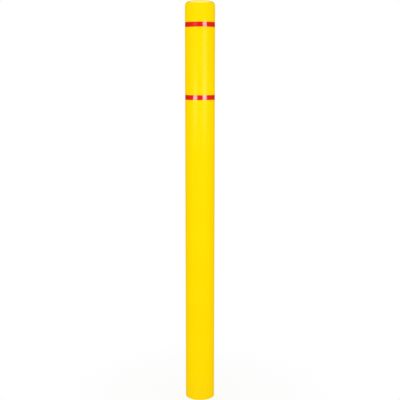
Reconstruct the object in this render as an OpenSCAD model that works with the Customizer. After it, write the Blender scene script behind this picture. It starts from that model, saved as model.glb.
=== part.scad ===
// Bollard cover sleeve: one moulding of coloured plastic with a closed, softly rounded top, which
// slides down over a round post. Two bands of reflective tape lie in shallow grooves near the top,
// and two rows of foam strips inside grip the post.
// Sizes are in millimetres. The open end stands on Z = 0, the axis is Z, and the front is -Y.

/* [Post] */
// Outside diameter of the round post that the sleeve slides over
post_d = 101.6; // [70:0.1:220]

/* [Sleeve] */
// Overall height, from the open end to the top of the dome
sleeve_h = 1651; // [1100:1:2200]
// Thickness of the side wall
wall = 3.175; // [2.5:0.005:8]
// Thickness of the closed top at its middle
top_t = 5; // [3:0.1:12]
// Outer radius of the shallow dome that closes the top
dome_r = 300; // [200:5:900]
// Outer radius of the round edge between the side and the dome
edge_r = 19.05; // [10:0.05:30]
// Bevel on both edges of the open end
lip_bevel = 0.6; // [0.2:0.1:1]

/* [Reflective tape] */
// Width of the tape
tape_w = 19.05; // [10:0.05:50]
// Thickness of the tape
tape_t = 0.4; // [0.2:0.05:0.6]
// Length over which the tape's end laps its start, at the back
tape_lap = 12; // [5:1:40]
// How far the lapped end lies below the sleeve's surface
tape_recess = 0.1; // [0:0.05:0.5]
// Gap between each edge of the tape and its groove
tape_gap = 0.6; // [0.2:0.1:2]
// Distance from the top of the dome down to the middle of the upper tape
upper_tape_drop = 95.25; // [60:0.25:200]
// Distance from the middle of the upper tape down to the middle of the lower tape
tape_pitch = 285.75; // [80:0.25:500]

/* [Foam strips] */
// Thickness of the foam
foam_t = 6.25; // [3:0.05:20]
// Width of a strip, along the curve of the bore
foam_w = 31.75; // [20:0.25:50]
// Length of a strip
foam_l = 304.8; // [100:0.1:400]
// Distance from the open end up to the lower strips
lower_foam_rise = 50.8; // [10:0.1:150]
// Distance from the top of the dome down to the upper strips
upper_foam_drop = 152.4; // [40:0.1:250]

/* [Adhesive] */
// Thickness of the adhesive film under the tape and the foam
film_t = 0.1; // [0.05:0.05:0.3]

/* [Hidden] */
SIDES = ["front", "right", "back", "left"];
ROWS = ["lower", "upper"];
$fn = 96;

// How far a cut runs past the face that it opens
over = 1;
// How far the round edge would stand above the dome that trims it
trim = 0.01;

bore_r = post_d / 2 + foam_t + film_t;
outer_r = bore_r + wall;

groove_depth = film_t + 2 * tape_t + tape_recess;
groove_w = tape_w + 2 * tape_gap;
tape_r = outer_r - groove_depth + film_t;
lap_angle = tape_lap / tape_r * 180 / PI;
upper_tape_z = sleeve_h - upper_tape_drop;
lower_tape_z = upper_tape_z - tape_pitch;

foam_angle = foam_w / bore_r * 180 / PI;
upper_foam_z = sleeve_h - upper_foam_drop - foam_l;

// Direction of the front, and of the back where the tapes lap
front = -90;
back = 90;

function foam_name(row, side) = str(row, "_foam_strip_", side);
function foam_z(row) = row == "lower" ? lower_foam_rise : upper_foam_z;
function side_angle(i) = front + i * 360 / len(SIDES);

// Half outline of an upright round body with a domed top, as radius against height above the
// middle of its dome. The round edge is tangent to the side, and the dome trims it where they meet.
module domed_half(r, depth, dome, edge) {
    arc_x = r - edge;
    arc_z = sqrt(pow(dome - edge, 2) - pow(arc_x, 2)) - dome + trim;
    meet = atan2(arc_z + dome, arc_x);
    translate([0, -depth])
        square([r, depth + arc_z]);
    intersection() {
        union() {
            translate([arc_x, arc_z])
                circle(edge);
            polygon([
                [0, arc_z - edge],
                [arc_x, arc_z],
                [arc_x, arc_z] + 2 * edge * [cos(meet), sin(meet)],
                [0, 2 * edge]
            ]);
        }
        translate([0, -dome])
            circle(dome);
    }
}

// Section of the shallow groove that takes a tape
module groove_half(mid_z) {
    translate([outer_r - groove_depth, mid_z - groove_w / 2])
        square([groove_depth + over, groove_w]);
}

// Corner taken off an edge of the open end: out is 1 on the outside and -1 in the bore
module bevel_half(r, out) {
    polygon([
        [r - out * (lip_bevel + over), -over],
        [r + out * over, -over],
        [r + out * over, lip_bevel + over]
    ]);
}

// The sleeve: a straight wall, a closed top and a groove for each tape
module sleeve_shell() {
    color([1, 0.87, 0.02])
        rotate_extrude()
            difference() {
                translate([0, sleeve_h])
                    domed_half(outer_r, sleeve_h, dome_r, edge_r);
                translate([0, sleeve_h - top_t])
                    domed_half(bore_r, sleeve_h, dome_r - top_t, edge_r - wall);
                groove_half(upper_tape_z);
                groove_half(lower_tape_z);
                bevel_half(outer_r, 1);
                bevel_half(bore_r, -1);
            }
}

// The wedge of the plan, at the back, in which a tape lies double
module lap_wedge() {
    reach = 2 * outer_r;
    polygon([
        [0, 0],
        for (turn = [-1, 1]) reach * [cos(back + turn * lap_angle / 2), sin(back + turn * lap_angle / 2)]
    ]);
}

// A band of reflective tape, once round the groove, with its end lapped over its start
module reflective_tape(mid_z) {
    color([0.9, 0.1, 0.13])
        translate([0, 0, mid_z - tape_w / 2])
            linear_extrude(tape_w)
                difference() {
                    union() {
                        circle(tape_r + tape_t);
                        intersection() {
                            circle(tape_r + 2 * tape_t);
                            lap_wedge();
                        }
                    }
                    circle(tape_r);
                }
}

// A foam strip stuck to the bore, curved with it
module foam_strip(angle, foot_z) {
    color([0.2, 0.2, 0.21])
        translate([0, 0, foot_z])
            rotate(angle - foam_angle / 2)
                rotate_extrude(angle = foam_angle)
                    translate([post_d / 2, 0])
                        square([foam_t, foam_l]);
}

sleeve_shell();
reflective_tape(upper_tape_z);  // upper_reflective_tape
reflective_tape(lower_tape_z);  // lower_reflective_tape
for (row = ROWS, i = [0 : len(SIDES) - 1])
    foam_strip(side_angle(i), foam_z(row));
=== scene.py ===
"""Bollard cover sleeve: the looks of a tall plastic sleeve that slides down over a round post.

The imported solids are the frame. Each one is replaced here by a finer surface of the same size in
the same place: the moulded sleeve, its two bands of reflective tape and the foam pads inside it.
Lengths are in metres, angles in radians unless a name says degrees, and the front faces -Y.
"""

import math
from typing import NamedTuple

import bpy
import numpy as np
from bpy.props import FloatProperty, FloatVectorProperty, PointerProperty
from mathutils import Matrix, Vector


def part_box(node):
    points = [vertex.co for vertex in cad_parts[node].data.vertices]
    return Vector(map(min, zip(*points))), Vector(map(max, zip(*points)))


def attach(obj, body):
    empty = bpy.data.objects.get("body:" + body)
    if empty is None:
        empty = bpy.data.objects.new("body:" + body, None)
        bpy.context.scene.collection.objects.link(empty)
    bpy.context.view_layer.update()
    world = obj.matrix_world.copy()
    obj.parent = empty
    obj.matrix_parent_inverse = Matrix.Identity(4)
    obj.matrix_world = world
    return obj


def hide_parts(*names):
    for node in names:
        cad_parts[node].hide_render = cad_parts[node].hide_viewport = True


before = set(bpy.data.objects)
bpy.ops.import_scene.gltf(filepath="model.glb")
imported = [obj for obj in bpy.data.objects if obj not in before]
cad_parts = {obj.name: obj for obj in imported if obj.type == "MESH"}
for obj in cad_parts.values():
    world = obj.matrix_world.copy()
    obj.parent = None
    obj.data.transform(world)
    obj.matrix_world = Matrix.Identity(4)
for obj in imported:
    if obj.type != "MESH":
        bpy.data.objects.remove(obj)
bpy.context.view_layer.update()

bl_info = {
    "name": "Bollard Cover Sleeve",
    "version": (1, 0, 0),
    "blender": (4, 5, 0),
    "location": "3D View > Sidebar > Sleeve",
    "description": "Builds a bollard cover sleeve with its reflective tape and foam pads",
    "category": "Add Mesh",
}

MM = 0.001
BODY = "root"
SHELL_NODE = "sleeve_shell"
TAPE_ROWS = ("upper", "lower")
FOAM_ROWS = ("lower", "upper")
FOAM_SIDES = ("front", "right", "back", "left")

# Direction of the front, and of the back where each tape laps
FRONT = math.radians(-90)
BACK = math.radians(90)


# Sizes read from the frame

def radii_and_heights(node):
    """Distance from the axis and height of every vertex of a CAD node."""
    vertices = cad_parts[node].data.vertices
    flat = np.empty(3 * len(vertices), np.float32)
    vertices.foreach_get("co", flat)
    x, y, z = flat.reshape(-1, 3).T.astype(float)
    return np.hypot(x, y), z


def tape_node(row):
    """Name of the CAD node of a tape."""
    return f"{row}_reflective_tape"


def foam_node(row, side):
    """Name of the CAD node of a foam strip."""
    return f"{row}_foam_strip_{side}"


# The rim is the part of the sleeve within this height of its open end
RIM_ZONE = 10 * MM
shell_r, shell_z = radii_and_heights(SHELL_NODE)
rim_r = shell_r[shell_z < RIM_ZONE]
tape_r, tape_z = radii_and_heights(tape_node("upper"))
foam_r, _ = radii_and_heights(foam_node("lower", "right"))
foam_half_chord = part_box(foam_node("lower", "right"))[1].y
foam_half_degrees = math.degrees(math.asin(foam_half_chord / foam_r.max()))


# Settings that a user would change

def length(name, description, default):
    """A length in metres, for a group of settings."""
    return FloatProperty(
        name=name, description=description, default=float(default), min=0.0, precision=5, unit="LENGTH"
    )


def angle(name, description, degrees):
    """An angle, given in degrees, for a group of settings."""
    return FloatProperty(
        name=name, description=description, default=math.radians(degrees), unit="ROTATION"
    )


def share(name, description, default):
    """A share from 0 to 1, for a group of settings."""
    return FloatProperty(
        name=name, description=description, default=default, min=0.0, max=1.0, subtype="FACTOR"
    )


def colour(name, description, default):
    """A linear colour, for a group of settings."""
    return FloatVectorProperty(
        name=name, description=description, default=default, min=0.0, max=1.0, size=3, subtype="COLOR"
    )


class SleeveSettings(bpy.types.PropertyGroup):
    """Sizes and colours of the moulded sleeve."""

    height: length("Height", "From the open end to the top of the dome", shell_z.max())
    outer_r: length("Outer Radius", "Radius of the outside of the wall", rim_r.max())
    bore_r: length("Bore Radius", "Radius of the inside of the wall", rim_r.min())
    top_t: length("Top Thickness", "Thickness of the closed top at its middle", 5 * MM)
    dome_r: length("Dome Radius", "Radius of the shallow dome that closes the top", 300 * MM)
    edge_r: length("Edge Radius", "Radius of the round edge between wall and dome", 19.05 * MM)
    lip_round: length("Lip Round", "Rounding of both edges of the open end", 0.6 * MM)
    groove_gap: length("Groove Gap", "Gap between each edge of a tape and its groove", 0.6 * MM)
    groove_round: length("Groove Round", "Rounding of the edges of a groove", 0.3 * MM)
    film_t: length("Film Thickness", "Adhesive film between a tape and its groove", 0.1 * MM)
    yellow: colour("Yellow", "Colour of the plastic", (0.990, 0.690, 0.0003))
    deep_yellow: colour("Deep Yellow", "Colour of its denser drifts", (0.970, 0.655, 0.0003))
    scuffed: colour("Scuffed", "Colour of light scuffs and of the cut lip", (1.0, 0.76, 0.04))
    dust: colour("Dust", "Colour of the faint dust near the foot", (0.66, 0.50, 0.12))


class TapeSettings(bpy.types.PropertyGroup):
    """Sizes and colours of the reflective tapes."""

    inner_r: length("Inner Radius", "Radius of the glued face", tape_r.min())
    thickness: length("Thickness", "Thickness of one layer", (tape_r.max() - tape_r.min()) / 2)
    width: length("Width", "Width of the tape", np.ptp(tape_z))
    lap: length("Lap", "Length over which the end lies on the start, at the back", 12 * MM)
    ramp: length("Ramp", "Length over which the end climbs onto the start", 6 * MM)
    edge_round: length("Edge Round", "Rounding of the cut edges", 0.12 * MM)
    cell: length("Cell", "Width of one cell of the film across its flats", 3.4 * MM)
    seam: length("Seam", "Width of the seam between two cells", 0.4 * MM)
    red: colour("Red", "Colour of the film", (0.78, 0.008, 0.008))
    seam_red: colour("Seam Red", "Colour of the seams between its cells", (0.67, 0.008, 0.008))


class FoamSettings(bpy.types.PropertyGroup):
    """Sizes and colours of the foam pads."""

    outer_r: length("Outer Radius", "Radius of the glued face", foam_r.max())
    thickness: length("Thickness", "Thickness of a pad", np.ptp(foam_r))
    half_angle: angle("Half Angle", "Half the angle that a pad spans", foam_half_degrees)
    corner_round: length("Corner Round", "Rounding of the edges on the post's side", 1.6 * MM)
    glued_round: length("Glued Round", "Rounding of the edges on the sleeve's side", 0.5 * MM)
    crown: length("Crown", "How far the pad's long edges sink below its middle", 0.4 * MM)
    grey: colour("Grey", "Colour of the foam", (0.030, 0.030, 0.032))
    # This pore colour is painted shade: the open pores are drawn darker than the foam, as shade inside
    # them
    pore_with_painted_shade: colour("Pore", "Colour in the foam's open pores", (0.010, 0.010, 0.011))


class StageSettings(bpy.types.PropertyGroup):
    """Camera, light and floor."""

    camera_distance: length("Camera Distance", "From the sleeve's axis to the camera", 3.256)
    camera_height: length("Camera Height", "From the floor to the camera", 1.398)
    camera_pitch: angle("Camera Pitch", "How far the camera looks down", 9.578)
    camera_lens: FloatProperty(
        name="Lens", description="Focal length in millimetres", default=72.0, min=1.0
    )
    ambient: share("Ambient", "Strength of the soft light from all round", 0.91)
    floor_shade: share("Floor Shade", "How much of its shading the floor shows near the sleeve", 0.15)


class SleeveProject(bpy.types.PropertyGroup):
    """All the settings of the sleeve."""

    sleeve: PointerProperty(type=SleeveSettings)
    tape: PointerProperty(type=TapeSettings)
    foam: PointerProperty(type=FoamSettings)
    stage: PointerProperty(type=StageSettings)


# Outlines and surfaces

# Points round the sleeve, and the longest stretch of its outline between two rings of them
AROUND = 192
LONGEST = 25 * MM
# Steps in a small rounding, in the round edge of the top and in its dome
ROUND_STEPS = 5
EDGE_STEPS = 20
DOME_STEPS = 14
# Flat strip beside each rounding, which keeps the shading of the wall even
SHOULDER = 0.3 * MM


def arc(centre, radius, first, last, steps):
    """Arc: the centre plus the radius times (cos a, sin a), with a going evenly from first to last."""
    turn = np.linspace(first, last, steps + 1)
    return np.array(centre) + radius * np.column_stack((np.cos(turn), np.sin(turn)))


def rounded(corners, radii, shoulder=SHOULDER):
    """Outline with every inner corner rounded.

    A corner that turns by t is touched by its circle at radius times tan(t / 2) before and after it.
    The arc between those points turns by t, and a shoulder point lies beyond each end of it.
    """
    corners = np.asarray(corners, float)
    radii = np.asarray(radii, float)[:, None]
    leg = np.diff(corners, axis=0)
    leg /= np.linalg.norm(leg, axis=1, keepdims=True)
    into, out = leg[:-1], leg[1:]
    cross = into[:, 0] * out[:, 1] - into[:, 1] * out[:, 0]
    turn = np.arctan2(cross, (into * out).sum(axis=1))[:, None]
    reach = radii * np.tan(np.abs(turn) / 2)
    touch = corners[1:-1] - into * reach
    leave = corners[1:-1] + out * reach
    across = np.sign(turn) * np.column_stack((-into[:, 1], into[:, 0]))
    centre = touch + across * radii
    begin = np.arctan2(-across[:, 1:], -across[:, :1])
    sweep = begin + turn * np.linspace(0, 1, ROUND_STEPS + 1)
    bend = centre[:, None] + radii[:, None] * np.stack((np.cos(sweep), np.sin(sweep)), axis=-1)
    before = (touch - into * shoulder)[:, None]
    after = (leave + out * shoulder)[:, None]
    bends = np.concatenate((before, bend, after), axis=1).reshape(-1, 2)
    return np.vstack((corners[:1], bends, corners[-1:]))


def rounded_loop(corners, radii, shoulder):
    """Closed outline with every corner rounded: the corners are wrapped round by one at each end."""
    corners = np.asarray(corners, float)
    wrapped = np.vstack((corners[-1:], corners, corners[:1]))
    return rounded(wrapped, radii, shoulder)[1:-1]


def filled_in(outline, longest=LONGEST):
    """Outline with points added evenly to each stretch that is longer than longest."""
    step = np.diff(outline, axis=0)
    parts = np.maximum(1, np.ceil(np.linalg.norm(step, axis=1) / longest)).astype(int)
    stretch = np.repeat(np.arange(len(parts)), parts)
    place = np.arange(parts.sum()) - np.repeat(np.cumsum(parts) - parts, parts)
    part = (place / parts[stretch])[:, None]
    return np.vstack((outline[stretch] + part * step[stretch], outline[-1:]))


def running_length(outline):
    """Length of an outline up to each of its points."""
    return np.concatenate(([0.0], np.cumsum(np.linalg.norm(np.diff(outline, axis=0), axis=1))))


def grid(*parts):
    """Grid of points whose parts are arrays, each stretched to the grid's rows and columns."""
    return np.stack(np.broadcast_arrays(*parts), axis=-1)


def turned(radius, turn, height):
    """Point at a radius, turn and height: (radius cos turn, radius sin turn, height)."""
    return grid(radius * np.cos(turn), radius * np.sin(turn), height)


def tube_mesh(name, rings, uv, caps=()):
    """Mesh of rings of points, rows by columns, where each ring closes on itself.

    A quad joins each pair of neighbours in two neighbouring rings. The uv has one column more than
    the rings, for the closing seam. caps holds the middle of the first and of the last ring, to
    which a fan of triangles closes the mesh.
    """
    rows, columns = rings.shape[:2]
    here = np.arange(rows * columns).reshape(rows, columns)
    beside = np.roll(here, -1, axis=1)
    uv_here = np.arange(rows * (columns + 1)).reshape(rows, columns + 1)
    uv_this, uv_next = uv_here[:, :-1], uv_here[:, 1:]
    quads = np.stack((here[:-1], here[1:], beside[1:], beside[:-1]), axis=-1).reshape(-1, 4)
    uv_quads = np.stack((uv_this[:-1], uv_this[1:], uv_next[1:], uv_next[:-1]), axis=-1).reshape(-1, 4)
    points = [rings.reshape(-1, 3)]
    fans, uv_fans = [], []
    for row, cap in zip((0, -1), caps):
        middle = np.full(columns, rows * columns + len(fans))
        pair = (here[row], beside[row]) if row == 0 else (beside[row], here[row])
        uv_pair = (uv_this[row], uv_next[row]) if row == 0 else (uv_next[row], uv_this[row])
        points.append(np.reshape(cap, (1, 3)))
        fans.append(np.stack((middle, *pair), axis=-1))
        uv_fans.append(np.stack((uv_this[row], *uv_pair), axis=-1))
    points = np.vstack(points)
    corners = np.concatenate([part.ravel() for part in (quads, *fans)])
    uv_corners = np.concatenate([part.ravel() for part in (uv_quads, *uv_fans)])
    sides = np.concatenate((np.full(len(quads), 4), np.full(columns * len(fans), 3)))
    mesh = bpy.data.meshes.new(name)
    mesh.vertices.add(len(points))
    mesh.vertices.foreach_set("co", points.astype(np.float32).ravel())
    mesh.loops.add(len(corners))
    mesh.loops.foreach_set("vertex_index", corners.astype(np.int32))
    mesh.polygons.add(len(sides))
    mesh.polygons.foreach_set("loop_start", (np.cumsum(sides) - sides).astype(np.int32))
    layer = mesh.uv_layers.new(name="UVMap")
    layer.uv.foreach_set("vector", uv.reshape(-1, 2)[uv_corners].astype(np.float32).ravel())
    mesh.update(calc_edges=True)
    mesh.shade_smooth()
    if mesh.validate():
        raise RuntimeError(f"the mesh of {name} had faults")
    return mesh


def add_object(name, data):
    """New object in the scene, in place of an earlier one of the same name."""
    earlier = bpy.data.objects.get(name)
    if earlier:
        bpy.data.objects.remove(earlier)
    made = bpy.data.objects.new(name, data)
    bpy.context.scene.collection.objects.link(made)
    return made


def add_piece(mesh, material, node):
    """New piece of the sleeve, which stands for a CAD node."""
    mesh.materials.append(material)
    piece = add_object(mesh.name, mesh)
    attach(piece, BODY)
    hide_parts(node)
    return piece


# Shader graphs

class Wire:
    """A shader socket in an expression, where each operator adds one Math node to its graph."""

    def __init__(self, graph, socket):
        self.graph = graph
        self.socket = socket

    def __add__(self, other):
        return self.graph.math("ADD", self, other)

    def __sub__(self, other):
        return self.graph.math("SUBTRACT", self, other)

    def __rsub__(self, other):
        return self.graph.math("SUBTRACT", other, self)

    def __mul__(self, other):
        return self.graph.math("MULTIPLY", self, other)

    def __truediv__(self, other):
        return self.graph.math("DIVIDE", self, other)

    def __mod__(self, other):
        return self.graph.math("FLOORED_MODULO", self, other)

    def __abs__(self):
        return self.graph.math("ABSOLUTE", self)

    __radd__ = __add__
    __rmul__ = __mul__


class Graph:
    """The nodes of a material or of the world."""

    def __init__(self, owner):
        owner.use_nodes = True
        self.tree = owner.node_tree
        self.tree.nodes.clear()

    def add(self, kind, settings=None, sockets=None, output=None):
        """Adds a node: its settings come first, then the value or link of each named socket.

        A socket is named, or numbered among those in use. The result is the named output, or else
        the first one in use.
        """
        node = self.tree.nodes.new("ShaderNode" + kind)
        for name, value in (settings or {}).items():
            setattr(node, name, value)
        used = [socket for socket in node.inputs if socket.enabled]
        for key, value in (sockets or {}).items():
            socket = used[key] if isinstance(key, int) else next(s for s in used if s.name == key)
            if isinstance(value, Wire):
                self.tree.links.new(value.socket, socket)
            else:
                socket.default_value = value
        outputs = [s for s in node.outputs if s.enabled and output in (None, s.name)]
        return Wire(self, outputs[0]) if outputs else None

    def math(self, operation, *values):
        """A Math node on one, two or three values."""
        return self.add("Math", {"operation": operation}, dict(enumerate(values)))

    def most(self, first, second):
        """The larger of two values."""
        return self.math("MAXIMUM", first, second)

    def distance(self, x, y):
        """Distance of a point from the middle: the root of x squared plus y squared."""
        return self.math("SQRT", x * x + y * y)

    def rise(self, value, low, high):
        """Smooth step: 0 where the value is at low, 1 where it is at high."""
        sockets = {"Value": value, "From Min": low, "From Max": high}
        return self.add("MapRange", {"interpolation_type": "SMOOTHSTEP"}, sockets)

    def fall(self, value, low, high):
        """Smooth step down: 1 where the value is at low, 0 where it is at high."""
        return 1.0 - self.rise(value, low, high)

    def blend(self, factor, first, second):
        """The first colour where the factor is 0, the second where it is 1."""
        sockets = {"Factor": factor, "A": opaque(first), "B": opaque(second)}
        return self.add("Mix", {"data_type": "RGBA"}, sockets)

    def place(self):
        """Object coordinates."""
        return self.add("TexCoord", output="Object")

    def moved(self, vector, scale, turn=(0.0, 0.0, 0.0)):
        """A vector stretched along each axis and then turned."""
        sockets = {"Vector": vector, "Scale": scale, "Rotation": turn}
        return self.add("Mapping", {"vector_type": "POINT"}, sockets)

    def noise(self, vector, scale=1.0, detail=2.0):
        """Noise from 0 to 1, with so many features in a metre."""
        return self.add("TexNoise", None, {"Vector": vector, "Scale": scale, "Detail": detail}, "Fac")

    def cells(self, vector, scale, output, feature="F1"):
        """An output of a pattern of uneven cells, with so many of them in a metre."""
        return self.add("TexVoronoi", {"feature": feature}, {"Vector": vector, "Scale": scale}, output)

    def parts(self, vector):
        """The three parts of a vector."""
        return [self.add("SeparateXYZ", None, {"Vector": vector}, axis) for axis in "XYZ"]

    def bump(self, height, depth):
        """Normal of a surface that the height, from 0 to 1, lifts by up to depth."""
        return self.add("Bump", None, {"Height": height, "Distance": depth, "Strength": 1.0})

    def seen_as_background(self):
        """1 for a ray from the camera, a reflection or a clear piece, 0 for a ray that carries light."""
        kinds = ("Camera", "Glossy", "Transmission")
        camera, glossy, clear = [self.add("LightPath", output=f"Is {kind} Ray") for kind in kinds]
        return self.most(camera, self.most(glossy, clear))


def opaque(value):
    """A colour of three numbers with full alpha, or a link as it is."""
    return value if isinstance(value, Wire) else (*value, 1.0)


def brighter(tint, gain):
    """A colour times a gain, with no part over 1."""
    return [min(1.0, part * gain) for part in tint]


def new_material(name):
    """An empty material and its graph."""
    material = bpy.data.materials.new(name)
    return material, Graph(material)


def finish_material(graph, **sockets):
    """Puts a Principled shader, with these sockets, on the surface. An underscore stands for a space."""
    named = {name.replace("_", " "): value for name, value in sockets.items()}
    shader = graph.add("BsdfPrincipled", None, named)
    graph.add("OutputMaterial", None, {"Surface": shader})


# Materials

# Plastic: features in a metre of its drifts of colour, patches of scuffs, grain and orange peel
DRIFT_SCALE = 6.0
PATCH_SCALE = 11.0
GRAIN_SCALE = 160.0
PEEL_SCALE = 430.0
# Features in a metre along each axis, of its upright draw lines and of its hair scuffs
DRAW_SCALES = (75.0, 75.0, 1.4)
SCUFF_SCALES = (30.0, 30.0, 7.0)
# Turn of the scuffs' noise, which keeps it apart from that of the draw lines
SCUFF_TURN = (0.5, 0.3, 0.0)
# Values of a noise between which a deeper colour, a patch of scuffs or dust comes in
DEEP_RANGE = (0.35, 0.75)
PATCH_RANGE = (0.58, 0.70)
DUST_RANGE = (0.45, 0.75)
# How near a noise comes to its middle in a scuff
SCUFF_WIDTH = 0.006
# Heights over which the cut lip ends and the dust thins out
CUT_RANGE = (0.1 * MM, 0.7 * MM)
DUST_HEIGHT = 0.16
# Stretch of the wall, inwards from its middle, over which the bore's finish comes in
BORE_FADE = 1 * MM
# How strongly drifts and draw lines deepen the colour, and scuffs, the cut lip and dust tint it
DRIFT_DEEPENING = 0.6
DRAW_DEEPENING = 0.4
SCUFF_TINT = 0.35
CUT_TINT = 0.5
DUST_TINT = 0.10
# Roughness of the clean plastic, and what its grain, its drifts and each kind of wear add to it
CLEAN_ROUGHNESS = 0.07
GRAIN_ROUGHNESS = 0.05
DRIFT_ROUGHNESS = 0.04
SCUFF_ROUGHNESS = 0.15
CUT_ROUGHNESS = 0.25
DUST_ROUGHNESS = 0.12
BORE_ROUGHNESS = 0.14
# Gloss of the plastic, as a share of a full clear coat's, and how much of it wear takes away
SATIN_GLOSS = 0.16
WEAR_DULLING = 0.5
BORE_DULLING = 0.6
# How far below the top the polish on its round edge grows to full, and fades to none
POLISH_BEGINS = (3.5 * MM, 7 * MM)
POLISH_ENDS = (9 * MM, 18 * MM)
# Depth of the relief, and the shares that peel, draw lines, grain and scuffs have in it
PLASTIC_DEPTH = 0.030 * MM
PEEL_RELIEF = 0.55
DRAW_RELIEF = 0.35
GRAIN_RELIEF = 0.10
SCUFF_RELIEF = 0.25


def satin_polyethylene(settings):
    """Coloured polyethylene: satin, faintly peeled like an orange, with draw lines and light scuffs."""
    material, graph = new_material("satin_polyethylene")
    place = graph.place()
    x, y, height = graph.parts(place)
    below = settings.height - height
    # Denser and paler drifts of colour, and long upright draw lines
    drift = graph.noise(place, DRIFT_SCALE)
    drawn = graph.noise(graph.moved(place, DRAW_SCALES), detail=3.0)
    deep = graph.rise(drift * DRIFT_DEEPENING + drawn * DRAW_DEEPENING, *DEEP_RANGE)
    tone = graph.blend(deep, settings.yellow, settings.deep_yellow)
    # Hair scuffs: thin contour lines of a stretched noise, kept in a few patches
    contour = abs(graph.noise(graph.moved(place, SCUFF_SCALES, SCUFF_TURN), detail=4.0) - 0.5)
    patch = graph.rise(graph.noise(place, PATCH_SCALE, detail=1.0), *PATCH_RANGE)
    scuff = graph.fall(contour, 0.0, SCUFF_WIDTH) * patch
    # The cut lip is paler and dull, and a little dust gathers just above it
    cut = graph.fall(height, *CUT_RANGE)
    grain = graph.noise(place, GRAIN_SCALE, detail=3.0)
    dusty = graph.fall(height, 0.0, DUST_HEIGHT) * graph.rise(grain, *DUST_RANGE)
    worn = graph.blend(graph.most(scuff * SCUFF_TINT, cut * CUT_TINT), tone, settings.scuffed)
    # The bore comes from the core side of the mould and is duller than the outside
    middle_r = (settings.bore_r + settings.outer_r) / 2
    bore = graph.fall(graph.distance(x, y), middle_r - BORE_FADE, middle_r)
    inner = bore * graph.rise(below, settings.top_t, settings.edge_r)
    # Each finish adds its own roughness
    clean_rough = CLEAN_ROUGHNESS + grain * GRAIN_ROUGHNESS + drift * DRIFT_ROUGHNESS
    lip_rough = cut * CUT_ROUGHNESS + dusty * DUST_ROUGHNESS
    wall_rough = scuff * SCUFF_ROUGHNESS + inner * BORE_ROUGHNESS
    # Wear takes gloss away, while handling has polished the round edge of the top
    dulled = graph.most(graph.most(cut, inner * BORE_DULLING), graph.most(scuff, dusty) * WEAR_DULLING)
    polished = graph.rise(below, *POLISH_BEGINS) * graph.fall(below, *POLISH_ENDS)
    # Orange peel and draw lines stand up a little, and scuffs cut in
    peel = graph.noise(place, PEEL_SCALE)
    raised = peel * PEEL_RELIEF + drawn * DRAW_RELIEF + grain * GRAIN_RELIEF
    finish_material(
        graph,
        Base_Color=graph.blend(dusty * DUST_TINT, worn, settings.dust),
        Roughness=clean_rough + lip_rough + wall_rough,
        Specular_IOR_Level=0.0,
        Coat_Weight=graph.most(polished, (1.0 - dulled) * SATIN_GLOSS),
        Coat_IOR=1.5,
        Coat_Roughness=0.10,
        Normal=graph.bump(raised - scuff * SCUFF_RELIEF, PLASTIC_DEPTH),
    )
    return material


# Film: features in a metre of its beads, and of the ripple that it was laid with
BEAD_SCALE = 3200.0
RIPPLE_SCALE = 70.0
# How much brighter a painted glint can make a bead than the film, how much of that shows, and how seams
# tint it
PAINTED_GLINT_GAIN = 1.25
PAINTED_GLINT_SHARE = 0.35
SEAM_TINT = 0.7
# Roughness of the film, what beads and seams add to it, and how much of the skin's gloss a seam takes
FILM_ROUGHNESS = 0.38
BEAD_ROUGHNESS = 0.12
SEAM_ROUGHNESS = 0.15
SEAM_DULLING = 0.15
# Depth of the relief, and the shares that beads, ripple and seams have in it
FILM_DEPTH = 0.02 * MM
BEAD_RELIEF = 0.2
RIPPLE_RELIEF = 0.15
SEAM_RELIEF = 0.4


def from_seam(graph, along, across):
    """Distance from the nearest seam of a honeycomb, where lengths count in cells.

    The middles of the cells lie on two grids, one cell wide and root 3 high, half a step apart. The
    nearer middle is that of the point's own cell, whose seams lie half a cell from it in the three
    directions of a hexagon.
    """
    tall = math.sqrt(3)
    first_x = along % 1.0 - 0.5
    first_y = across % tall - tall / 2
    second_x = (along + 0.5) % 1.0 - 0.5
    second_y = (across + tall / 2) % tall - tall / 2
    to_first = graph.distance(first_x, first_y)
    to_second = graph.distance(second_x, second_y)
    nearer = graph.math("LESS_THAN", to_first, to_second)
    own_x = abs(second_x + (first_x - second_x) * nearer)
    own_y = abs(second_y + (first_y - second_y) * nearer)
    return 0.5 - graph.most(own_x, own_x * 0.5 + own_y * (tall / 2))


def reflective_film(settings):
    """Red reflective film: a honeycomb of beaded cells under a clear, glossy skin, with a glint painted
    on each bead.
    """
    material, graph = new_material("reflective_film_red")
    along, across, _ = graph.parts(graph.add("TexCoord", output="UV"))
    inward = from_seam(graph, along / settings.cell, across / settings.cell)
    seam = graph.fall(inward, 0.0, settings.seam / settings.cell)
    # Each bead has its own value, which paints a glint into the film's colour, and roughens and raises
    # the bead
    place = graph.place()
    bead_painted_glint_and_relief, _, _ = graph.parts(graph.cells(place, BEAD_SCALE, "Color"))
    ripple = graph.noise(place, RIPPLE_SCALE, detail=1.0)
    painted_glint_red = graph.blend(bead_painted_glint_and_relief * PAINTED_GLINT_SHARE, settings.red, brighter(settings.red, PAINTED_GLINT_GAIN))
    raised = bead_painted_glint_and_relief * BEAD_RELIEF + ripple * RIPPLE_RELIEF
    finish_material(
        graph,
        Base_Color=graph.blend(seam * SEAM_TINT, painted_glint_red, settings.seam_red),
        Roughness=FILM_ROUGHNESS + bead_painted_glint_and_relief * BEAD_ROUGHNESS + seam * SEAM_ROUGHNESS,
        Specular_IOR_Level=0.0,
        Normal=graph.bump(raised - seam * SEAM_RELIEF, FILM_DEPTH),
        Coat_Weight=1.0 - seam * SEAM_DULLING,
        Coat_IOR=1.85,
        Coat_Roughness=0.07,
    )
    return material


# Foam: features in a metre of its cells, and of the waves in its skin
CELL_SCALE = 950.0
WAVE_SCALE = 60.0
# Values of a cell's own number over which it turns from closed to cut open
PORE_RANGE = (0.72, 0.80)
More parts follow.
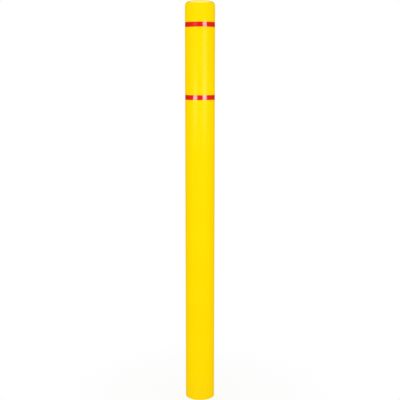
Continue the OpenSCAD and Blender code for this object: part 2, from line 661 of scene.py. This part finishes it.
# How far from its middle, in cells, an open cell's pore begins to fade, and ends
PORE_REACH = (0.10, 0.45)
# How much paler the skin can be, and how strongly each cell and the waves make it so
PALE_GAIN = 1.6
CELL_TINT = 0.5
WAVE_TINT = 0.3
# Roughness of the foam, and what the waves add to it
FOAM_ROUGHNESS = 0.80
WAVE_ROUGHNESS = 0.15
# Depth of the cells, and how much of it a pore adds
CELL_DEPTH = 0.22 * MM
PORE_RELIEF = 0.8


def closed_cell_foam(settings):
    """Dark closed-cell foam: rounded cells of uneven size, some of them cut open, with painted shade in
    the open pores.
    """
    material, graph = new_material("closed_cell_foam")
    place = graph.place()
    wave = graph.noise(place, WAVE_SCALE)
    sunk = graph.cells(place, CELL_SCALE, "Distance", "SMOOTH_F1")
    own, _, _ = graph.parts(graph.cells(place, CELL_SCALE, "Color"))
    # Open pores are sunk by the bump and painted darker, as shade inside them
    pore_with_painted_shade = graph.rise(own, *PORE_RANGE) * graph.fall(sunk, *PORE_REACH)
    pale = own * CELL_TINT + wave * WAVE_TINT
    skin = graph.blend(pale, settings.grey, brighter(settings.grey, PALE_GAIN))
    finish_material(
        graph,
        Base_Color=graph.blend(pore_with_painted_shade, skin, settings.pore_with_painted_shade),
        Roughness=FOAM_ROUGHNESS + wave * WAVE_ROUGHNESS,
        Specular_IOR_Level=0.3,
        Normal=graph.bump(1.0 - sunk - pore_with_painted_shade * PORE_RELIEF, CELL_DEPTH),
    )
    return material


# Pieces

# Stations along a tape, and how far its lapped end is pressed into its start
TAPE_STATIONS = 260
TAPE_NIP = 0.01 * MM
# Stations along a foam pad, and the longest stretch of its section
FOAM_STATIONS = 16
FOAM_LONGEST = 2 * MM


def domed(radius, top, dome_r, edge_r):
    """Half outline of a domed top, from the axis out to the straight wall.

    The dome is an arc about a point on the axis. The edge's circle touches the dome from inside, so
    its middle lies dome_r - edge_r from the dome's, and the two arcs meet on the line through both.
    """
    edge_x = radius - edge_r
    dome_z = top - dome_r
    edge_z = dome_z + math.sqrt((dome_r - edge_r) ** 2 - edge_x**2)
    meet = math.atan2(edge_z - dome_z, edge_x)
    dome = arc((0.0, dome_z), dome_r, math.pi / 2, meet, DOME_STEPS)
    edge = arc((edge_x, edge_z), edge_r, meet, 0.0, EDGE_STEPS)
    return np.vstack((dome, edge[1:]))


def tape_middle(row):
    """Height of the middle of a tape."""
    low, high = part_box(tape_node(row))
    return (low.z + high.z) / 2


def make_moulding(project):
    """The sleeve: its half outline turned round the axis.

    The outline runs out over the dome, down the wall through its grooves, round the lip, up the bore
    and in under the dome.
    """
    sleeve, tape = project.sleeve, project.tape
    outside = domed(sleeve.outer_r, sleeve.height, sleeve.dome_r, sleeve.edge_r)
    wall_t = sleeve.outer_r - sleeve.bore_r
    inside_top = sleeve.height - sleeve.top_t
    inside = domed(sleeve.bore_r, inside_top, sleeve.dome_r - sleeve.top_t, sleeve.edge_r - wall_t)
    floor_r = tape.inner_r - sleeve.film_t
    half = tape.width / 2 + sleeve.groove_gap
    grooves = [
        (radius, tape_middle(row) + side * half)
        for row in TAPE_ROWS
        for radius, side in ((sleeve.outer_r, 1), (floor_r, 1), (floor_r, -1), (sleeve.outer_r, -1))
    ]
    lip = [(sleeve.outer_r, 0.0), (sleeve.bore_r, 0.0)]
    radii = [sleeve.groove_round] * len(grooves) + [sleeve.lip_round] * len(lip)
    wall = rounded([outside[-1], *grooves, *lip, inside[-1]], radii)
    outline = filled_in(np.vstack((outside, wall[1:], inside[-2::-1])))
    run = running_length(outline)
    turn = np.linspace(0, 2 * math.pi, AROUND + 1)
    rings = turned(outline[1:-1, :1], turn[None, :-1], outline[1:-1, 1:])
    uv = grid(turn * sleeve.outer_r, run[1:-1, None])
    caps = [(0.0, 0.0, outline[end, 1]) for end in (0, -1)]
    mesh = tube_mesh("sleeve_moulding", rings, uv, caps)
    add_piece(mesh, satin_polyethylene(sleeve), SHELL_NODE)


def wrap_tapes(project):
    """The tapes: a thin section carried once round the sleeve and on over its own start.

    The path turns from half a lap before the back to half a lap after it, one turn later. Its radius
    is even until it nears its start again, where a smooth step lifts it by one layer.
    """
    tape = project.tape
    material = reflective_film(tape)
    half_lap = tape.lap / tape.inner_r / 2
    ramp = tape.ramp / tape.inner_r
    turn = np.linspace(BACK - half_lap, BACK + half_lap + 2 * math.pi, TAPE_STATIONS)
    climb_end = BACK - half_lap + 2 * math.pi
    climb = np.clip((turn - climb_end + ramp) / ramp, 0, 1)
    lift = (tape.thickness - TAPE_NIP) * climb**2 * (3 - 2 * climb)
    high = tape.width / 2
    corners = [(0.0, -high), (tape.thickness, -high), (tape.thickness, high), (0.0, high)]
    section = rounded_loop(corners, [tape.edge_round] * len(corners), tape.edge_round / 2)
    path = (turn - turn[0]) * tape.inner_r
    closed = np.vstack((section, section[:1]))
    uv = grid(path[:, None], closed[None, :, 1])
    radius = tape.inner_r + lift[:, None] + section[None, :, 0]
    for row in TAPE_ROWS:
        rings = turned(radius, turn[:, None], tape_middle(row) + section[None, :, 1])
        caps = [rings[end].mean(axis=0) for end in (0, -1)]
        mesh = tube_mesh(f"{row}_tape_band", rings, uv, caps)
        add_piece(mesh, material, tape_node(row))


def fit_foam(project):
    """The foam pads: a rounded, crowned section bent round the bore and carried down its length.

    A section's point lies a distance along the bore and a depth in from it. Near each end both
    shrink by the inset of a quarter circle, which rounds the pad's ends like its edges.
    """
    foam = project.foam
    material = closed_cell_foam(foam)
    half = foam.half_angle * foam.outer_r
    corners = [(-half, 0.0), (half, 0.0), (half, foam.thickness), (-half, foam.thickness)]
    radii = [foam.glued_round] * 2 + [foam.corner_round] * 2
    outline = rounded_loop(corners, radii, foam.glued_round)
    section = filled_in(np.vstack((outline, outline[:1])), FOAM_LONGEST)
    quarter = arc((0.0, 0.0), foam.corner_round, 0.0, math.pi / 2, ROUND_STEPS)
    end_drop = foam.corner_round - quarter[::-1, 1]
    end_inset = foam.corner_round - quarter[::-1, 0]
    inset = np.concatenate((end_inset, np.zeros(FOAM_STATIONS - 2), end_inset[::-1]))[:, None]
    along = section[None, :, 0] * (1 - inset / half)
    depth = section[None, :, 1] * (1 - inset / foam.thickness)
    depth = depth * (1 - foam.crown / foam.thickness * (along / half) ** 2)
    for row in FOAM_ROWS:
        low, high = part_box(foam_node(row, "right"))
        straight = np.linspace(high.z - foam.corner_round, low.z + foam.corner_round, FOAM_STATIONS)
        height = np.concatenate((high.z - end_drop, straight[1:-1], low.z + end_drop[::-1]))[:, None]
        uv = grid(along, height)
        for place, side in enumerate(FOAM_SIDES):
            middle = FRONT + place * 2 * math.pi / len(FOAM_SIDES)
            rings = turned(foam.outer_r - depth, middle + along / foam.outer_r, height)[:, :-1]
            caps = [rings[end].mean(axis=0) for end in (0, -1)]
            mesh = tube_mesh(f"{row}_foam_pad_{side}", rings, uv, caps)
            pad = add_piece(mesh, material, foam_node(row, side))


# Stage

class Softbox(NamedTuple):
    """An upright softbox to the right of the camera by so many degrees, which faces the sleeve.

    It is dark at its low end and has its full radiance at its brightest height. From the height where
    it is dimmed up to its high end, it has a share of that.
    """

    name: str
    degrees: float
    distance: float
    width: float
    low: float
    brightest: float
    dimmed: float
    high: float
    radiance: float
    top_share: float


# The softboxes only show as reflections
SOFTBOXES = (
    Softbox(
        name="right_softbox",
        degrees=35.8,
        distance=1.5,
        width=0.80,
        low=0.81,
        brightest=1.37,
        dimmed=1.63,
        high=1.66,
        radiance=8.4,
        top_share=0.65,
    ),
    Softbox(
        name="left_softbox",
        degrees=-37.0,
        distance=1.5,
        width=0.88,
        low=0.87,
        brightest=1.20,
        dimmed=1.46,
        high=1.66,
        radiance=5.6,
        top_share=0.07,
    ),
)
# The overhead strip only shows as a reflection too, on the round edge of the top
STRIP_SIZE = (2.8, 2.4)
STRIP_RISE = 1.2
STRIP_AHEAD = 0.15
STRIP_EVEN = 0.4
STRIP_RADIANCE = 3.3
# The key lights the front softly and shows in no reflection
KEY_SIZE = (1.4, 1.0)
KEY_HEIGHT = 1.35
KEY_DISTANCE = 2.2
KEY_RADIANCE = 3.25
# The dark screen only shows in reflections: it keeps the sleeve's front from mirroring white
SCREEN_HALF_ANGLE = math.radians(165)
SCREEN_INNER_R = 62 * MM
SCREEN_OUTER_R = 2.6
SCREEN_FOOT = 1 * MM
SCREEN_TOP = 3.5
SCREEN_STATIONS = 65
SCREEN_DARK = (0.03, 0.03, 0.03)
SCREEN_PALE = (0.07, 0.07, 0.07)
FOLD_SCALE = 3.0
# A dark card beside each side of the sleeve keeps the edges dark in reflections seen from behind
CARD_GAP = 6 * MM
CARD_AHEAD = 8 * MM
CARD_BEHIND = 30 * MM
# A dark collar under the round edge of the top keeps the strip off the wall, seen from below
COLLAR_DROP = 25 * MM
COLLAR_OUTER_R = 0.6
# The floor is a ring that leaves the open end clear, just under it
FLOOR_OUTER_R = 8.0
FLOOR_DROP = 0.2 * MM
FLOOR_WHITE = (0.85, 0.85, 0.85)
FLOOR_SHADE_NEAR = 0.12
FLOOR_SHADE_FAR = 0.75
PURE_WHITE = (1.0, 1.0, 1.0)
PURE_BLACK = (0.0, 0.0, 0.0)
# Width of the camera's sensor, in millimetres
SENSOR_WIDTH = 36.0


def plain_floor(stage):
    """White floor: white to the eye, with its shading mixed in near the sleeve, and clear from below."""
    material, graph = new_material("plain_floor")
    x, y, _ = graph.parts(graph.place())
    near = graph.fall(graph.distance(x, y), FLOOR_SHADE_NEAR, FLOOR_SHADE_FAR)
    matt = graph.add("BsdfDiffuse", None, {"Color": opaque(FLOOR_WHITE)})
    white = graph.add("Emission", None, {"Color": opaque(PURE_WHITE), "Strength": 1.0})
    shown = graph.seen_as_background() * (1.0 - near * stage.floor_shade)
    top = graph.add("MixShader", None, {0: shown, 1: matt, 2: white})
    clear = graph.add("BsdfTransparent")
    below = graph.add("NewGeometry", output="Backfacing")
    floor = graph.add("MixShader", None, {0: below, 1: top, 2: clear})
    graph.add("OutputMaterial", None, {"Surface": floor})
    return material


def finish_glow(material, graph, bright, radiance):
    """Puts a glow on the surface, which only a ray that meets it finds, so that a card can hide it.

    It has the full radiance where bright is 1 and none where it is 0.
    """
    glow = graph.blend(bright, PURE_BLACK, PURE_WHITE)
    shader = graph.add("Emission", None, {"Color": glow, "Strength": radiance})
    graph.add("OutputMaterial", None, {"Surface": shader})
    material.cycles.emission_sampling = "NONE"
    return material


def softbox_cloth(box):
    """White cloth of a softbox, dark at its foot, brightest at one height and dimmer up to its top."""
    material, graph = new_material("softbox_cloth")
    _, _, height = graph.parts(graph.place())
    foot = graph.rise(height, box.low, box.brightest)
    top = 1.0 - graph.rise(height, box.brightest, box.dimmed) * (1.0 - box.top_share)
    return finish_glow(material, graph, foot * top, box.radiance)


def strip_cloth():
    """White cloth of the overhead strip, brightest round its middle and dark at its rim."""
    material, graph = new_material("strip_cloth")
    x, y, _ = graph.parts(graph.place())
    across = abs(x) / (STRIP_SIZE[0] / 2)
    along = abs(y + STRIP_AHEAD) / (STRIP_SIZE[1] / 2)
    bright = graph.fall(across, STRIP_EVEN, 1.0) * graph.fall(along, STRIP_EVEN, 1.0)
    return finish_glow(material, graph, bright, STRIP_RADIANCE)


def dark_cloth():
    """Dark cloth of the screen round the camera's side of the studio and of the cards."""
    material, graph = new_material("dark_cloth")
    folded = graph.blend(graph.noise(graph.place(), FOLD_SCALE), SCREEN_DARK, SCREEN_PALE)
    finish_material(graph, Base_Color=folded, Roughness=1.0, Specular_IOR_Level=0.0)
    return material


def add_reflected(name, points, material):
    """A sheet of the stage that only shows in reflections: a grid of points joined by quads."""
    here = np.arange(points[..., 0].size).reshape(points.shape[:2])
    corners = (here[:-1, :-1], here[:-1, 1:], here[1:, 1:], here[1:, :-1])
    faces = np.stack(corners, axis=-1).reshape(-1, 4)
    mesh = bpy.data.meshes.new(name)
    mesh.from_pydata(points.reshape(-1, 3).tolist(), [], faces.tolist())
    mesh.materials.append(material)
    sheet = add_object(name, mesh)
    for ray in ("camera", "diffuse", "transmission", "volume_scatter", "shadow"):
        setattr(sheet, f"visible_{ray}", False)


def add_softbox(box):
    """A softbox: its middle plus or minus half its width, square to the line to the sleeve's axis."""
    turn = FRONT + math.radians(box.degrees)
    side = np.array((-0.5, 0.5)) * box.width
    x = box.distance * math.cos(turn) - side * math.sin(turn)
    y = box.distance * math.sin(turn) + side * math.cos(turn)
    height = np.array(((box.low,), (box.high,)))
    add_reflected(box.name, grid(x, y, height), softbox_cloth(box))


def add_overhead_strip(top):
    """The overhead strip: a level sheet above the sleeve, its middle a little towards the camera."""
    across = np.array((-0.5, 0.5)) * STRIP_SIZE[0]
    along = np.array(((-0.5,), (0.5,))) * STRIP_SIZE[1] - STRIP_AHEAD
    add_reflected("overhead_strip", grid(across, along, top + STRIP_RISE), strip_cloth())


def add_key():
    """The key: an upright lamp in front, whose power is pi times its area times its radiance."""
    data = bpy.data.lights.new("front_key", "AREA")
    data.shape = "RECTANGLE"
    data.size, data.size_y = KEY_SIZE
    data.energy = math.pi * KEY_SIZE[0] * KEY_SIZE[1] * KEY_RADIANCE
    lamp = add_object("front_key", data)
    lamp.location = (0.0, -KEY_DISTANCE, KEY_HEIGHT)
    lamp.rotation_euler = (math.pi / 2, 0.0, 0.0)
    lamp.visible_camera = False
    lamp.visible_glossy = False


def add_screen(cloth):
    """The dark screen: its profile, out along the floor and up, turned round the camera's side."""
    radius = np.array(((SCREEN_INNER_R,), (SCREEN_OUTER_R,), (SCREEN_OUTER_R,)))
    height = np.array(((SCREEN_FOOT,), (SCREEN_FOOT,), (SCREEN_TOP,)))
    turn = np.linspace(FRONT - SCREEN_HALF_ANGLE, FRONT + SCREEN_HALF_ANGLE, SCREEN_STATIONS)
    add_reflected("dark_screen", turned(radius, turn, height), cloth)


def add_cards(sleeve, cloth):
    """The dark cards: an upright one close to each side of the sleeve, and a flat ring near its top."""
    y = np.array((-CARD_AHEAD, CARD_BEHIND))
    height = np.array(((0.0,), (sleeve.height,)))
    inner_r = sleeve.outer_r + CARD_GAP
    for side, way in (("right", 1), ("left", -1)):
        add_reflected(f"{side}_card", grid(way * inner_r, y, height), cloth)
    radius = np.array(((inner_r,), (COLLAR_OUTER_R,)))
    turn = np.linspace(0, 2 * math.pi, SCREEN_STATIONS)
    add_reflected("collar_card", turned(radius, turn, sleeve.height - COLLAR_DROP), cloth)


def add_floor(project):
    """The floor: a flat ring from under the sleeve's wall outwards."""
    sleeve = project.sleeve
    # Rows run outwards, so that the faces look up
    radius = np.array(((sleeve.bore_r + sleeve.lip_round,), (FLOOR_OUTER_R,)))
    turn = np.linspace(0, 2 * math.pi, AROUND + 1)
    flat = turned(radius, turn[None, :], -FLOOR_DROP)
    mesh = tube_mesh("floor", flat[:, :-1], flat[..., :2])
    mesh.materials.append(plain_floor(project.stage))
    add_object("floor", mesh)


def add_camera(stage):
    """The camera in front of the sleeve, near the height of its tapes and looking a little down."""
    data = bpy.data.cameras.new("camera")
    data.sensor_width = SENSOR_WIDTH
    data.lens = stage.camera_lens
    camera = add_object("camera", data)
    camera.location = (0.0, -stage.camera_distance, stage.camera_height)
    camera.rotation_euler = (math.pi / 2 - stage.camera_pitch, 0.0, 0.0)
    bpy.context.scene.camera = camera


def set_world(stage):
    """The world: soft light from all round, which looks white as a background."""
    world = bpy.data.worlds.new("white_studio")
    bpy.context.scene.world = world
    graph = Graph(world)
    strength = stage.ambient + graph.seen_as_background() * (1.0 - stage.ambient)
    background = graph.add("Background", None, {"Color": opaque(PURE_WHITE), "Strength": strength})
    graph.add("OutputWorld", None, {"Surface": background})


def set_stage(project):
    """Camera, lamps, screen, cards, floor and world."""
    bpy.context.scene.view_settings.view_transform = "Standard"
    add_camera(project.stage)
    for box in SOFTBOXES:
        add_softbox(box)
    add_overhead_strip(project.sleeve.height)
    add_key()
    cloth = dark_cloth()
    add_screen(cloth)
    add_cards(project.sleeve, cloth)
    add_floor(project)
    set_world(project.stage)


# Operators and panel

class SLEEVE_OT_make_moulding(bpy.types.Operator):
    """Build the moulded sleeve with its closed top, its grooves and its open end"""

    bl_idname = "sleeve.make_moulding"
    bl_label = "Make Moulding"

    def execute(self, context):
        make_moulding(context.scene.sleeve_project)
        return {"FINISHED"}


class SLEEVE_OT_wrap_tapes(bpy.types.Operator):
    """Wrap a band of reflective tape round each groove"""

    bl_idname = "sleeve.wrap_tapes"
    bl_label = "Wrap Tapes"

    def execute(self, context):
        wrap_tapes(context.scene.sleeve_project)
        return {"FINISHED"}


class SLEEVE_OT_fit_foam(bpy.types.Operator):
    """Stick the foam pads into the bore, near its foot and near its top"""

    bl_idname = "sleeve.fit_foam"
    bl_label = "Fit Foam"

    def execute(self, context):
        fit_foam(context.scene.sleeve_project)
        return {"FINISHED"}


class SLEEVE_OT_set_stage(bpy.types.Operator):
    """Set up the floor, the lamps, the background and the camera"""

    bl_idname = "sleeve.set_stage"
    bl_label = "Set Stage"

    def execute(self, context):
        set_stage(context.scene.sleeve_project)
        return {"FINISHED"}


class SLEEVE_PT_project(bpy.types.Panel):
    """Lists the sleeve's settings, each group with the button that builds from it."""

    bl_label = "Bollard Cover Sleeve"
    bl_space_type = "VIEW_3D"
    bl_region_type = "UI"
    bl_category = "Sleeve"

    def draw(self, context):
        project = context.scene.sleeve_project
        for group, operator in (
            (project.sleeve, SLEEVE_OT_make_moulding),
            (project.tape, SLEEVE_OT_wrap_tapes),
            (project.foam, SLEEVE_OT_fit_foam),
            (project.stage, SLEEVE_OT_set_stage),
        ):
            box = self.layout.box()
            for name in type(group).__annotations__:
                box.prop(group, name)
            box.operator(operator.bl_idname)


CLASSES = (
    SleeveSettings,
    TapeSettings,
    FoamSettings,
    StageSettings,
    SleeveProject,
    SLEEVE_OT_make_moulding,
    SLEEVE_OT_wrap_tapes,
    SLEEVE_OT_fit_foam,
    SLEEVE_OT_set_stage,
    SLEEVE_PT_project,
)


def register():
    """Registers the classes and gives the scene its settings."""
    for entry in CLASSES:
        bpy.utils.register_class(entry)
    bpy.types.Scene.sleeve_project = PointerProperty(type=SleeveProject)


def unregister():
    """Takes the settings and the classes away again."""
    del bpy.types.Scene.sleeve_project
    for entry in reversed(CLASSES):
        bpy.utils.unregister_class(entry)


def main():
    """Builds the sleeve and its stage."""
    register()
    bpy.ops.sleeve.set_stage()
    bpy.ops.sleeve.make_moulding()
    bpy.ops.sleeve.wrap_tapes()
    bpy.ops.sleeve.fit_foam()


if __name__ == "__main__":
    main()
